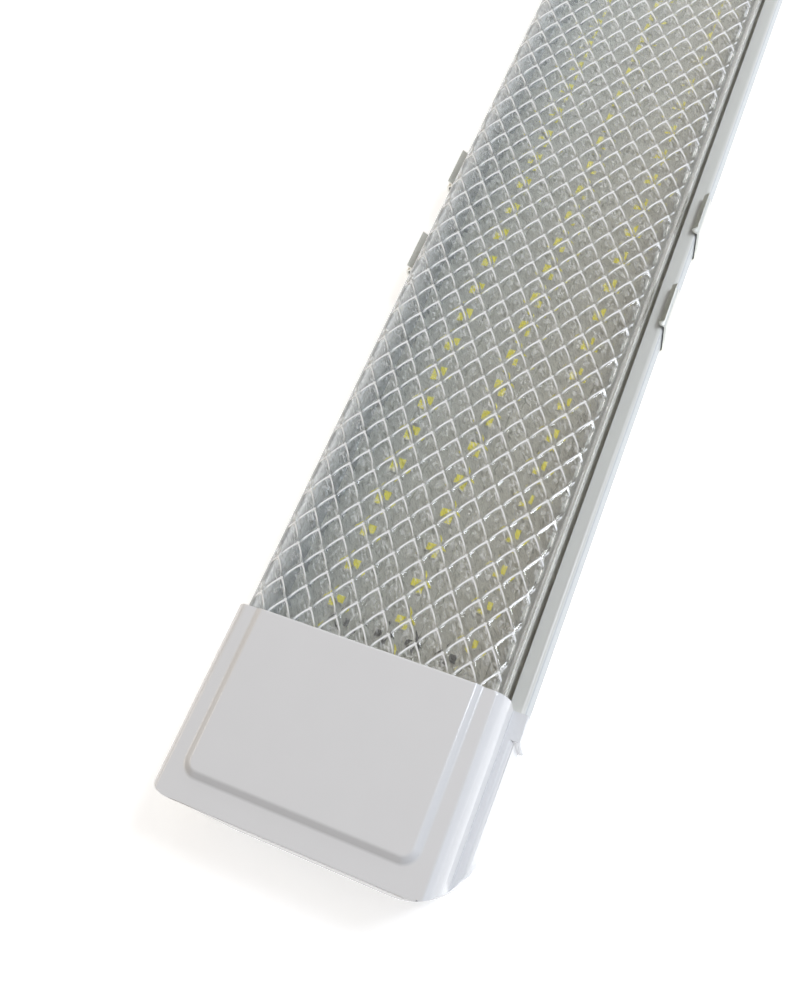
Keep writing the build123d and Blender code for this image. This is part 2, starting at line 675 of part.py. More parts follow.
def terminal_block():
    """Screw terminal block with a wire bore and two clamp-screw wells for each pole."""
    x0, x1 = BLOCK_X, BLOCK_X + BLOCK_LENGTH
    body = block(x0, x1, BLOCK_SIDE, BLOCK_SIDE + BLOCK_WIDTH, FLOOR, FLOOR + BLOCK_HEIGHT)
    lane = Rot(0, 90, 0) * Cylinder(POLE_BORE / 2, BLOCK_LENGTH)
    middle = (x0 + x1) / 2
    for y in pole_places():
        body -= Pos(middle, y, FLOOR + POLE_HEIGHT) * lane
        body -= [
            post(x, y, FLOOR + POLE_HEIGHT, BLOCK_SEAT, CLAMP_SCREW_DIAMETER + 2 * SEAT)
            for x in clamp_columns()
        ]
        body -= [
            post(x, y, BLOCK_SEAT, FLOOR + BLOCK_HEIGHT, CLAMP_SCREW_HEAD + 2 * SEAT)
            for x in clamp_columns()
        ]
    x, y = block_screw_place()
    waist = post(x, y, FLOOR, FLOOR + BLOCK_HEIGHT, BOARD_SCREW_DIAMETER + 2 * SEAT)
    well = post(x, y, BLOCK_SEAT, FLOOR + BLOCK_HEIGHT, BOARD_SCREW_HEAD + 2 * SEAT)
    return body - waist - well


def clamp_columns():
    return [BLOCK_X + BLOCK_LENGTH * share for share in (0.2, 0.8)]


def terminal_screws():
    """Clamp screws, each down in its well with its tip on the wire in the pole's bore."""
    length = POLE_BORE - WIRE_DIAMETER - 2 * SEAT
    one = screw(CLAMP_SCREW_DIAMETER, length, CLAMP_SCREW_HEAD, CLAMP_SCREW_HEAD_HEIGHT)
    spots = [(x, y) for y in pole_places() for x in clamp_columns()]
    return Compound(children=[Pos(x, y, BLOCK_SEAT) * one for x, y in spots])


def terminal_block_screw():
    x, y = block_screw_place()
    length = BLOCK_SEAT - STAND_OFF
    one = screw(BOARD_SCREW_DIAMETER, length, BOARD_SCREW_HEAD, BOARD_SCREW_HEAD_HEIGHT)
    return Pos(x, y, BLOCK_SEAT) * one


def earth_tag():
    """Ring tag under the earth screw, with a crimp tail for the earth wire."""
    ring = post(EARTH_X, EARTH_Y, FLOOR, FLOOR + TAG_THICK, TAG_DIAMETER)
    half = WIRE_DIAMETER
    tail = block(
        EARTH_X, EARTH_X + TAG_TAIL, EARTH_Y - half, EARTH_Y + half, FLOOR, FLOOR + TAG_THICK
    )
    hole = post(
        EARTH_X, EARTH_Y, FLOOR, FLOOR + TAG_THICK, EARTH_SCREW_DIAMETER + 2 * SEAT
    )
    return ring + tail - hole


def earth_screw():
    one = screw(
        EARTH_SCREW_DIAMETER,
        TAG_THICK + RAIL_SHEET,
        EARTH_SCREW_HEAD,
        EARTH_SCREW_HEAD_HEIGHT,
    )
    return Pos(EARTH_X, EARTH_Y, FLOOR + TAG_THICK) * one


def mains_lead(pole, turn):
    """Wire from a pole of the terminal block up and over to the driver's board."""
    y = pole_places()[pole]
    z = POLE_WIRE
    x_turn = BOARD_X + turn
    landing = BOARD_SIDE + BOARD_WIDTH - WIRE_EDGE
    over = BOARD_TOP + 2 * WIRE_BEND + WIRE_DIAMETER
    start = clamp_columns()[0] + CLAMP_SCREW_DIAMETER / 2
    points = [
        (start, y, z),
        (x_turn, y, z),
        (x_turn, y, over),
        (x_turn, landing, over),
        (x_turn, landing, BOARD_TOP),
    ]
    return wire(points, WIRE_DIAMETER, WIRE_BEND)


def live_lead():
    return mains_lead(0, LIVE_TURN)


def neutral_lead():
    return mains_lead(1, NEUTRAL_TURN)


def earth_lead():
    """Earth wire from the third pole down into the ring tag's crimp tail."""
    y = pole_places()[-1]
    low = FLOOR + TAG_THICK + WIRE_DIAMETER / 2
    tail_end = EARTH_X + TAG_TAIL
    points = [
        (clamp_columns()[0] + CLAMP_SCREW_DIAMETER / 2, y, POLE_WIRE),
        (BLOCK_X - WIRE_DIAMETER, y, POLE_WIRE),
        (tail_end + WIRE_DIAMETER, y, low),
        (tail_end - 2 * WIRE_DIAMETER, y, low),
    ]
    return wire(points, WIRE_DIAMETER, WIRE_BEND)


def led_lead(side):
    """Wire from the driver's board over the tray's edge to the middle strip's end pad."""
    y_board = BOARD_SIDE + BOARD_WIDTH / 2 + side * WIRE_DIAMETER * 1.5
    y_pad = STRIPS[STRIP_COUNT // 2] + side * STRIP_WIDTH / 4
    over = BOARD_TOP + 2 * WIRE_BEND
    x_board = BOARD_X + WIRE_DIAMETER
    x_pad = STRIP_TO - 3 * WIRE_DIAMETER
    points = [
        (x_board, y_board, BOARD_TOP),
        (x_board, y_board, over),
        (x_pad, y_pad, over),
        (x_pad, y_pad, STRIP_TOP),
    ]
    return wire(points, WIRE_DIAMETER, WIRE_BEND)


def strip_links():
    """Short bridges that join each strip's end pads to the next strip's."""
    z = STRIP_TOP + LINK_RISE
    inset = STRIP_WIDTH / 4
    links = []
    for a, b in zip(STRIPS, STRIPS[1:]):
        for k in range(2):
            x = STRIP_TO - 4 * WIRE_DIAMETER - (k + 1) * 2 * LINK_DIAMETER
            y0, y1 = a + inset, b - inset
            points = [(x, y0, STRIP_TOP), (x, y0, z), (x, y1, z), (x, y1, STRIP_TOP)]
            links.append(wire(points, LINK_DIAMETER, LINK_BEND))
    return Compound(children=links)


def spring_clip(x):
    """Bent stainless spring: a base under the rail and two sides that snap over its lips."""
    half_sheet = CLIP_SHEET / 2
    low = STAND_OFF - CLIP_PLAY - half_sheet
    side = RAIL_HALF + CLIP_PLAY + half_sheet
    bottom = RAIL_TOP + CLIP_PLAY + half_sheet
    catch = RAIL_HALF - CLIP_CATCH + half_sheet
    half_path = [
        (side, low),
        (side, bottom),
        (catch, bottom + CLIP_CATCH_RISE),
        (side + CLIP_FLARE_OUT, bottom + CLIP_CATCH_RISE + CLIP_FLARE_RISE),
    ]
    path = [(-y, z) for y, z in reversed(half_path)] + half_path
    bent = along_x(
        sheet_face(path, CLIP_SHEET, CLIP_BEND), x - CLIP_WIDTH / 2, x + CLIP_WIDTH / 2
    )
    holes = [
        post(x, y, 0, STAND_OFF, CLIP_HOLE) for y in (-CLIP_HOLE_SPACING / 2, CLIP_HOLE_SPACING / 2)
    ]
    return bent - holes


def all_parts():
    """Every piece of the lamp by its name."""
    parts = {
        "base_rail": base_rail(),
        "diffuser": diffuser(),
        "end_cap_near": end_cap(),
        "end_cap_far": inlet_cap(),
        "cap_screws_near": cap_screws(-1),
        "cap_screws_far": cap_screws(1),
        "cable_grommet": cable_grommet(),
        "strip_chips": strip_chips(),
        "strip_rivets": strip_rivets(),
        "strip_links": strip_links(),
        "driver_tray": driver_tray(),
        "driver_board": driver_board(),
        "driver_screws": driver_screws(),
        "transformer_core": transformer_core(),
        "transformer_winding": transformer_winding(),
        "filter_capacitor": filter_capacitor(),
        "output_capacitor": output_capacitor(),
        "film_capacitor": film_capacitor(),
        "fuse": fuse(),
        "bridge_rectifier": bridge_rectifier(),
        "driver_chip": driver_chip(),
        "terminal_block": terminal_block(),
        "terminal_screws": terminal_screws(),
        "terminal_block_screw": terminal_block_screw(),
        "earth_tag": earth_tag(),
        "earth_screw": earth_screw(),
        "live_lead": live_lead(),
        "neutral_lead": neutral_lead(),
        "earth_lead": earth_lead(),
        "led_positive_lead": led_lead(1),
        "led_negative_lead": led_lead(-1),
        "clip_near": spring_clip(CLIP_NEAR_X),
        "clip_far": spring_clip(CLIP_FAR_X),
    }
    for number, y in enumerate(STRIPS, start=1):
        parts[f"led_strip_{number}"] = led_strip(y)
        parts[f"led_packages_{number}"] = led_packages(y)
        parts[f"led_phosphors_{number}"] = led_phosphors(y)
    return parts


os.makedirs("parts", exist_ok=True)
for name, piece in all_parts().items():
    export_step(piece, f"parts/{name}.step")
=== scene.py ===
import math

import bpy
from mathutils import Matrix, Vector


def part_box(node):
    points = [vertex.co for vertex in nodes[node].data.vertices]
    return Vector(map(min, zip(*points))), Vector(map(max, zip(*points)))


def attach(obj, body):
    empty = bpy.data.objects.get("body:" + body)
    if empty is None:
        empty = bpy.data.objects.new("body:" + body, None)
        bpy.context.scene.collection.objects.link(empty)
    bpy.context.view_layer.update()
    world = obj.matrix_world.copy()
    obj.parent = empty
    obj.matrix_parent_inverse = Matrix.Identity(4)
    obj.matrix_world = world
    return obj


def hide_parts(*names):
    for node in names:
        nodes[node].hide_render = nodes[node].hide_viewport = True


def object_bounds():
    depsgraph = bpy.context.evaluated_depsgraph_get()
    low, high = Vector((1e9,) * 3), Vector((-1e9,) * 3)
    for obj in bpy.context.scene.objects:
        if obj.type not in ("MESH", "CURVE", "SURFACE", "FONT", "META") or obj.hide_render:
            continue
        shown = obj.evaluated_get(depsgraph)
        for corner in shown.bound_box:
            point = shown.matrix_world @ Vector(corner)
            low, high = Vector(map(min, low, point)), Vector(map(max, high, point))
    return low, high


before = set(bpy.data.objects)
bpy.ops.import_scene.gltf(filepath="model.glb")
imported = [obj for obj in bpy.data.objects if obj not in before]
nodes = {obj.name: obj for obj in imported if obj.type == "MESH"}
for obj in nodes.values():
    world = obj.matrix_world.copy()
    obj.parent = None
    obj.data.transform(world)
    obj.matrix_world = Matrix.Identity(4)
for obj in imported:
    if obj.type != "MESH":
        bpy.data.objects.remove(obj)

cad_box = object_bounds()

# Base rail: a channel folded from thin steel sheet, with inturned lips that hold the cover.
# It is powder coated in satin white, and its sheet goes on as a flat tongue under each end cap,
# where the cap's screws hold it.

mm = 0.001
coat_light = "f4f4f1"
coat_dark = "ecece9"
coat_grain = 1.1 * mm
coat_peel = 0.01 * mm
floor_cream = "eae7dc"
floor_zone = (6.0 * mm, 3.0 * mm)
lip_painted_light = "e0e0da"
lip_painted_light_zone = (11.1 * mm, 11.5 * mm)
outside_painted_shade = "bdc1c3"
outside_painted_shade_zone = (37.3 * mm, 37.6 * mm)
wander = 0.15

# A Mix node's two colours and their mix go by number, because their names repeat.
mix_from = 6
mix_to = 7
mixed = 2


def linear(colour):
    """An sRGB hex colour as linear red, green, blue and alpha."""
    parts = [int(colour[k:k + 2], 16) / 255 for k in (0, 2, 4)]
    return tuple(c / 12.92 if c <= 0.04045 else ((c + 0.055) / 1.055) ** 2.4 for c in parts) + (1.0,)


def add(tree, kind, settings=None, links=None):
    """One node with its settings, on the node itself or on an input, and its incoming links."""
    node = tree.nodes.new(kind)
    for name, value in (settings or {}).items():
        if isinstance(name, str) and hasattr(node, name):
            setattr(node, name, value)
        else:
            node.inputs[name].default_value = value
    for name, socket in (links or {}).items():
        tree.links.new(socket, node.inputs[name])
    return node


def new_material(name, settings):
    """An empty material with its shader, the shader's constant settings, and Object coordinates."""
    material = bpy.data.materials.new(name)
    material.use_nodes = True
    tree = material.node_tree
    tree.nodes.clear()
    shader = add(tree, "ShaderNodeBsdfPrincipled", settings)
    add(tree, "ShaderNodeOutputMaterial", links={"Surface": shader.outputs["BSDF"]})
    place = add(tree, "ShaderNodeTexCoord").outputs["Object"]
    return material, tree, shader, place


def grain(tree, shader, place, light, dark, size, roughness, height):
    """Mottles a surface between two colours, with a roughness that wanders and a fine bump."""
    noise = add(tree, "ShaderNodeTexNoise", {"Scale": 1 / size, "Detail": 3.0}, {"Vector": place})
    mottle = noise.outputs["Fac"]
    shade = add(
        tree,
        "ShaderNodeMix",
        {"data_type": "RGBA", mix_from: linear(dark), mix_to: linear(light)},
        {"Factor": mottle},
    )
    tree.links.new(shade.outputs[mixed], shader.inputs["Base Color"])
    rough = add(
        tree,
        "ShaderNodeMapRange",
        {"To Min": roughness * (1 - wander), "To Max": roughness * (1 + wander)},
        {"Value": mottle},
    )
    tree.links.new(rough.outputs["Result"], shader.inputs["Roughness"])
    bump = add(tree, "ShaderNodeBump", {"Strength": 0.5, "Distance": height}, {"Height": mottle})
    tree.links.new(bump.outputs["Normal"], shader.inputs["Normal"])


def finish(piece, material):
    """Gives a CAD node or a new piece its one material."""
    piece.data.materials.clear()
    piece.data.materials.append(material)


# Powder coat on steel: an even satin white with a faint orange peel. It looks creamy on the floor,
# under the strips, with a painted light tone on the lips and painted shade, cooler and greyer, outside.
powder_coat, tree, shader, place = new_material("powder_coated_steel", {"IOR": 1.5})
grain(tree, shader, place, coat_light, coat_dark, coat_grain, 0.3, coat_peel)
coat = shader.inputs["Base Color"].links[0].from_socket
axes = add(tree, "ShaderNodeSeparateXYZ", links={"Vector": place})
height = axes.outputs["Z"]
aside = add(tree, "ShaderNodeMath", {"operation": "ABSOLUTE"}, {0: axes.outputs["Y"]}).outputs[0]
# The lip tone and the grey outer sides are painted light and painted shade on the one even coat.
for value, (start, end), colour in (
    (height, floor_zone, floor_cream),
    (height, lip_painted_light_zone, lip_painted_light),
    (aside, outside_painted_shade_zone, outside_painted_shade),
):
    share = add(tree, "ShaderNodeMapRange", {"From Min": start, "From Max": end}, {"Value": value})
    tone = add(
        tree,
        "ShaderNodeMix",
        {"data_type": "RGBA", mix_to: linear(colour)},
        {"Factor": share.outputs["Result"], mix_from: coat},
    )
    coat = tone.outputs[mixed]
tree.links.new(coat, shader.inputs["Base Color"])
finish(nodes["base_rail"], powder_coat)

# LED strips: aluminium-backed boards under a white solder mask, riveted to the rail's floor.
# Each carries a row of white moulded packages whose windows hold yellow phosphor in silicone.

strip_count = 3

# Solder mask: printed white ink, a little creamy and dull, so that the strips look warm.
solder_mask, tree, shader, place = new_material("white_solder_mask", {"IOR": 1.5})
grain(tree, shader, place, "ece9de", "e4e1d6", 2.5 * mm, 0.45, 0.01 * mm)

# Moulded polyamide, the packages' plastic: cleaner and whiter than the board, with sharp small
# highlights.
led_plastic, tree, shader, place = new_material("moulded_white_polyamide", {"IOR": 1.53})
grain(tree, shader, place, "f0f0ea", "e4e4de", 0.6 * mm, 0.35, 0.005 * mm)

# Phosphor in silicone: a strong yellow under a clear skin. Its emission is a painted glow, a constant
# yellow light that makes the dots look as if they glow a little. Its grains are drawn coarse enough to
# show.
phosphor, tree, shader, place = new_material(
    "phosphor_silicone_painted_glow",
    {"IOR": 1.41, "Coat Weight": 0.3, "Emission Color": linear("ffee20"), "Emission Strength": 0.25},
)
grain(tree, shader, place, "fff836", "f4e61c", 0.5 * mm, 0.3, 0.005 * mm)
for number in range(1, strip_count + 1):
    finish(nodes[f"led_strip_{number}"], solder_mask)
    finish(nodes[f"led_packages_{number}"], led_plastic)
    finish(nodes[f"led_phosphors_{number}"], phosphor)

# Driver and wiring under the far cap: a fibreglass board in a nylon tray with its moulded and
# wound components, a nylon terminal block, zinc-plated screws and insulated wires. The same
# nylon rivets, zinc screws, wire and epoxy chips also serve the strips and the near cap.

inner_bump = 0.01 * mm
metal = {"Metallic": 1.0}

# Grains of 0.4 mm and less are finer on the real pieces, and are drawn this coarse to show.
inner_finishes = (
    # Moulded nylon: milky white with a soft, dull sheen.
    ("moulded_nylon", {"IOR": 1.53}, "e4e3db", "d8d7cf", 0.5, 0.8 * mm,
     ["strip_rivets", "driver_tray", "terminal_block"]),
    # Zinc plate: pale bright grey with a fine uneven shine.
    ("zinc_plated_steel", metal, "c9c9c4", "b4b4ae", 0.32, 0.4 * mm,
     ["driver_screws", "terminal_screws", "terminal_block_screw", "earth_screw",
      "cap_screws_near", "cap_screws_far"]),
    # Fibreglass laminate: deep green with the cloth's faint mottle under a glossy mask.
    ("green_fibreglass", {"IOR": 1.5}, "2f6a41", "265a36", 0.4, 1.5 * mm, ["driver_board"]),
    # Sintered ferrite: charcoal and matt, with a fine grit.
    ("sintered_ferrite", {"IOR": 1.5}, "3a3a3c", "2c2c2e", 0.6, 0.3 * mm, ["transformer_core"]),
    # Polyester winding tape: clear yellow and smooth.
    ("polyester_tape", {"IOR": 1.5}, "e2bd3a", "d0a92c", 0.35, 1.2 * mm, ["transformer_winding"]),
    # Shrunk sleeve: dark blue and glossy, drawn tight over the can.
    ("shrunk_pvc_sleeve", {"IOR": 1.5}, "26303f", "1d2531", 0.25, 1.5 * mm,
     ["filter_capacitor", "output_capacitor"]),
    # Capacitor box: mustard yellow moulding with a gloss.
    ("moulded_polyester_box", {"IOR": 1.5}, "d9b23a", "cba42f", 0.3, 1.0 * mm, ["film_capacitor"]),
    # Fired ceramic: sandy and slightly speckled.
    ("fired_ceramic", {"IOR": 1.5}, "c0b29c", "ae9f89", 0.4, 0.5 * mm, ["fuse"]),
    # Moulded epoxy: nearly black and matt, as chips are.
    ("moulded_epoxy", {"IOR": 1.5}, "262627", "1c1c1d", 0.5, 0.3 * mm,
     ["bridge_rectifier", "driver_chip", "strip_chips"]),
    # Tinned brass: a pale metal with a warm cast.
    ("tinned_brass", metal, "cfc6a6", "bdb391", 0.3, 0.4 * mm, ["earth_tag"]),
    # Insulated wire: coloured plastic with a smooth half gloss, the earth in yellow and green.
    ("brown_pvc_wire", {"IOR": 1.5}, "6b4128", "5c3620", 0.4, 1.0 * mm, ["live_lead"]),
    ("blue_pvc_wire", {"IOR": 1.5}, "2f5fae", "27529b", 0.4, 1.0 * mm, ["neutral_lead"]),
    ("earth_pvc_wire", {"IOR": 1.5}, "b8c43a", "4f9a3c", 0.4, 2.5 * mm, ["earth_lead"]),
    ("red_pvc_wire", {"IOR": 1.5}, "bb2a26", "a8221f", 0.4, 1.0 * mm, ["led_positive_lead"]),
    ("black_pvc_wire", {"IOR": 1.5}, "2a2a2a", "202020", 0.4, 1.0 * mm, ["led_negative_lead"]),
    ("white_pvc_wire", {"IOR": 1.5}, "dededa", "d0d0cb", 0.4, 1.0 * mm, ["strip_links"]),
    # Moulded rubber: black and dull, with hardly a highlight.
    ("black_rubber", {"IOR": 1.52}, "2b2b2b", "212121", 0.65, 0.5 * mm, ["cable_grommet"]),
)
for name, settings, light, dark, roughness, size, users in inner_finishes:
    material, tree, shader, place = new_material(name, settings)
    grain(tree, shader, place, light, dark, size, roughness, inner_bump)
    for user in users:
        finish(nodes[user], material)

# Clear cover: extruded clear acrylic whose outside is rolled into a lattice of diamond pits.
# The ridges between the pits are rounded and end on the plain shoulders. Its two feet snap
# under the rail's lips, and its ends run into the caps.

cover_low, cover_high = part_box("diffuser")
cover_half_length = cover_high.x
cover_top = cover_high.z
cover_foot = cover_low.z
rib_width = 1.8 * mm
cover_half = cover_high.y - rib_width
shoulder = 4.0 * mm
wall = 1.3 * mm
roof = 1.2 * mm
cell_width = 6.8 * mm
half_cells = 107
cell_length = 2 * 2 * cover_half_length / half_cells
lattice_offset = 1.4 * mm
lattice_start = cell_length / 4 - lattice_offset
pit_depth = 1.0 * mm
web = 0.34 * mm
pit_wall = 0.55 * mm
pit_wall_drop = 0.45 * mm
pit_dish = 0.2 * mm
flat_half = cover_half - shoulder
arc_end = flat_half + shoulder * math.pi / 2
pattern_wrap = 2.6 * mm
pattern_end = flat_half + pattern_wrap
fade_wrap = 0.8 * mm
fade_start = flat_half + fade_wrap
side_drop = cover_top - shoulder - cover_foot
outer_bends = 3
inner_bends = 6
inner_radius = shoulder - wall
inner_top = cover_top - pit_depth - roof
inner_flat = cover_half - wall - inner_radius
inner_arc = inner_radius * math.pi / 2
inner_drop = inner_top - inner_radius - cover_foot
touch = 0.001 * mm


def start_edit(select="DESELECT"):
    """Goes to edit mode with nothing selected, or everything."""
    bpy.ops.object.mode_set(mode="EDIT")
    bpy.ops.mesh.select_all(action=select)


def pick_edges(piece, test):
    """Selects only the edges of a piece whose two ends pass a test, in edit mode."""
    bpy.ops.object.mode_set(mode="OBJECT")
    mesh = piece.data
    for group in (mesh.vertices, mesh.edges, mesh.polygons):
        group.foreach_set("select", [False] * len(group))
    for edge in mesh.edges:
        edge.select = test([mesh.vertices[v].co for v in edge.vertices])
    bpy.ops.object.mode_set(mode="EDIT")
    bpy.ops.mesh.select_mode(type="EDGE")


def trim(half_length, half_width):
    """Cuts a flat sheet in edit mode to a rectangle about the origin."""
    for normal, reach in (((1, 0, 0), half_length), ((0, 1, 0), half_width)):
        for sign in (1, -1):
            outward = Vector(normal) * sign
            bpy.ops.mesh.select_all(action="SELECT")
            bpy.ops.mesh.bisect(plane_co=outward * reach, plane_no=outward, clear_outer=True)


def widen(piece, half_width, steps):
    """Extrudes the two long edges of a flat sheet outwards, step by step."""
    for sign in (1, -1):
        for k, step in enumerate(steps):
            line = half_width + sum(steps[:k])
            pick_edges(piece, lambda ends: all(abs(v.y * sign - line) < touch for v in ends))
            bpy.ops.mesh.extrude_region_move(TRANSFORM_OT_translate={"value": (0, sign * step, 0)})
    bpy.ops.object.mode_set(mode="OBJECT")


def wrap(piece, half_flat, radius, top):
    """Bends a flat sheet down over two shoulders. Its height above Z = 0 goes along the normal."""
    for vertex in piece.data.vertices:
        x, s, height = vertex.co
        side = math.copysign(1.0, s)
        turn = min(max(0.0, abs(s) - half_flat) / radius, math.pi / 2)
        drop = max(0.0, abs(s) - half_flat - radius * math.pi / 2)
        reach = min(abs(s), half_flat) + (radius + height) * math.sin(turn)
        vertex.co = (x, side * reach, top - radius + (radius + height) * math.cos(turn) - drop)


bpy.ops.object.select_all(action="DESELECT")
cells = 2 * math.ceil(cover_half_length / cell_length + arc_end / cell_width) + 2
bpy.ops.mesh.primitive_grid_add(
    x_subdivisions=cells, y_subdivisions=cells, size=cells / math.sqrt(2), rotation=(0, 0, math.pi / 4)
)
cover = bpy.context.object
cover.name = "prismatic_cover"
bpy.ops.object.transform_apply(rotation=True)
cover.scale = (cell_length, cell_width, 1)
cover.location.x = lattice_start
bpy.ops.object.transform_apply(location=True, scale=True)
start_edit("SELECT")
trim(cover_half_length + cell_length, arc_end)
bpy.ops.mesh.select_all(action="SELECT")
bpy.ops.mesh.inset(thickness=web / 2, use_individual=True)
bpy.ops.mesh.inset(thickness=pit_wall, depth=-pit_wall_drop, use_individual=True)
bpy.ops.mesh.poke(offset=-pit_dish)
trim(cover_half_length, pattern_end)
bpy.ops.object.mode_set(mode="OBJECT")
for face in cover.data.polygons:
    face.use_smooth = face.center.z > -pit_wall_drop
for vertex in cover.data.vertices:
    fade = min(max((abs(vertex.co.y) - fade_start) / (pattern_end - fade_start), 0.0), 1.0)
    vertex.co.z *= 1 - fade * fade * (3 - 2 * fade)
widen(cover, pattern_end, [(arc_end - pattern_end) / outer_bends] * outer_bends + [side_drop])

# The lattice map counts cells along and across, on the patterned faces alone.
lattice = cover.data.uv_layers.new(name="lattice", do_init=False)
for face in cover.data.polygons:
    face.use_smooth = face.use_smooth or abs(face.center.y) > pattern_end
    if abs(face.center.y) < pattern_end:
        for loop, corner in zip(face.loop_indices, face.vertices):
            x, s = cover.data.vertices[corner].co.xy
            lattice.data[loop].uv = ((x - lattice_start) / cell_length, s / cell_width)
wrap(cover, flat_half, shoulder, cover_top)

# The smooth inside is a second sheet, joined to the outside along all four edges.
bpy.ops.object.select_all(action="DESELECT")
bpy.ops.mesh.primitive_plane_add(size=2)
lining = bpy.context.object
lining.scale = (cover_half_length, inner_flat, 1)
bpy.ops.object.transform_apply(scale=True)
widen(lining, inner_flat, [inner_arc / inner_bends] * inner_bends + [inner_drop])
wrap(lining, inner_flat, inner_radius, inner_top)
lining.select_set(True)
cover.select_set(True)
bpy.context.view_layer.objects.active = cover
bpy.ops.object.join()
start_edit()
bpy.ops.mesh.select_mode(type="EDGE")
bpy.ops.mesh.select_non_manifold(extend=False)
bpy.ops.mesh.bridge_edge_loops()
bpy.ops.mesh.select_all(action="SELECT")
bpy.ops.mesh.normals_make_consistent(inside=False)
bpy.ops.object.mode_set(mode="OBJECT")

# Clear extruded acrylic: almost colourless, with a painted tint of light, a little creamy on the right and
# cool on the left, and a painted glare on the left shoulder. Painted highlights in arched strokes, where
# the rounded ridges would throw back white light, run along two sides of each cell, with painted ticks,
# streaks and a soft pale spot in the pits.
haze_size = 6 * mm
ripple_size = 2.2 * mm
ripple_height = 0.1 * mm
tick_size = 1.1 * mm
streaks_along = 3
streaks_across = 13
spot_centre = (0.6, 0.62, 0.0)
spot_reach = 0.32
ridge_spacing = cell_length * cell_width / math.hypot(cell_length, cell_width)
stroke_core = 0.28 * mm
stroke_edge = 0.5 * mm
stroke_rise = (1 - stroke_edge / ridge_spacing, 1 - stroke_core / ridge_spacing)
stroke_fall = (0.985, 1.05)
stroke_bow = 0.24
painted_glare_width = 6 * mm
clear_acrylic, tree, shader, place = new_material("clear_extruded_acrylic", {"IOR": 1.5})
haze = add(tree, "ShaderNodeTexNoise", {"Scale": 1 / haze_size, "Detail": 3.0}, {"Vector": place})
rough = add(
    tree, "ShaderNodeMapRange", {"To Min": 0.04, "To Max": 0.08}, {"Value": haze.outputs["Fac"]}
)
tree.links.new(rough.outputs["Result"], shader.inputs["Roughness"])
ripple = add(tree, "ShaderNodeTexNoise", {"Scale": 1 / ripple_size, "Detail": 1.0}, {"Vector": place})
bump = add(
    tree,
    "ShaderNodeBump",
    {"Strength": 0.6, "Distance": ripple_height},
    {"Height": ripple.outputs["Fac"]},
)
tree.links.new(bump.outputs["Normal"], shader.inputs["Normal"])

# Along each of the two ridge directions, a run counts cells and a lane is the place in one cell.
cell_map = add(tree, "ShaderNodeUVMap", {"uv_map": "lattice"})
counts = add(tree, "ShaderNodeSeparateXYZ", links={"Vector": cell_map.outputs["UV"]})
runs = []
lanes = []
for operation in ("ADD", "SUBTRACT"):
    run = add(
        tree,
        "ShaderNodeMath",
        {"operation": operation},
        {0: counts.outputs["X"], 1: counts.outputs["Y"]},
    )
    lane = add(tree, "ShaderNodeMath", {"operation": "FRACT"}, {0: run.outputs[0]})
    runs.append(run.outputs[0])
    lanes.append(lane.outputs[0])
tick_noise = add(
    tree,
    "ShaderNodeTexNoise",
    {"Scale": 1 / tick_size, "Detail": 1.0, "Distortion": 1.5},
    {"Vector": place},
)
tick = tick_noise.outputs["Fac"]
run_place = add(tree, "ShaderNodeCombineXYZ", links={"X": runs[0], "Y": runs[1]})
stretch = add(
    tree,
    "ShaderNodeVectorMath",
    {"operation": "MULTIPLY", 1: (streaks_along, streaks_across, 1.0)},
    {0: run_place.outputs[0]},
)
streak_noise = add(
    tree,
    "ShaderNodeTexNoise",
    {"Scale": 1.0, "Detail": 2.0, "Distortion": 0.6},
    {"Vector": stretch.outputs[0]},
)
streak = streak_noise.outputs["Fac"]
cell_place = add(tree, "ShaderNodeCombineXYZ", links={"X": lanes[0], "Y": lanes[1]})
spot = add(
    tree,
    "ShaderNodeVectorMath",
    {"operation": "DISTANCE", 1: spot_centre},
    {0: cell_place.outputs[0]},
)
across = add(tree, "ShaderNodeSeparateXYZ", links={"Vector": place}).outputs["Y"]

# Each glint is a painted highlight, a product of soft steps. A step has a value, where it starts and
# ends, and the strength at both.
glints = [
    # Painted ticks of light beside the ridges of one direction, and fainter ones beside the others.
    [(tick, 0.56, 0.68, 0.0, 1.0), (lanes[1], 0.62, 0.85, 0.0, 0.45)],
    [(tick, 0.56, 0.68, 0.0, 1.0), (lanes[0], 0.75, 0.9, 0.06, 0.3)],
    # Painted streaks of light that grow stronger towards a ridge.
    [(streak, 0.52, 0.66, 0.0, 1.0), (lanes[1], 0.2, 0.9, 0.15, 0.6)],
    # A painted pale spot of reflected light in each pit, broken up by the ticks.
    [(spot.outputs["Value"], 0.0, spot_reach, 0.4, 0.0), (tick, 0.35, 0.65, 0.0, 1.0)],
    # A painted glare on the left shoulder.
    [(across, flat_half - painted_glare_width, cover_half, 0.0, 0.4)],
]

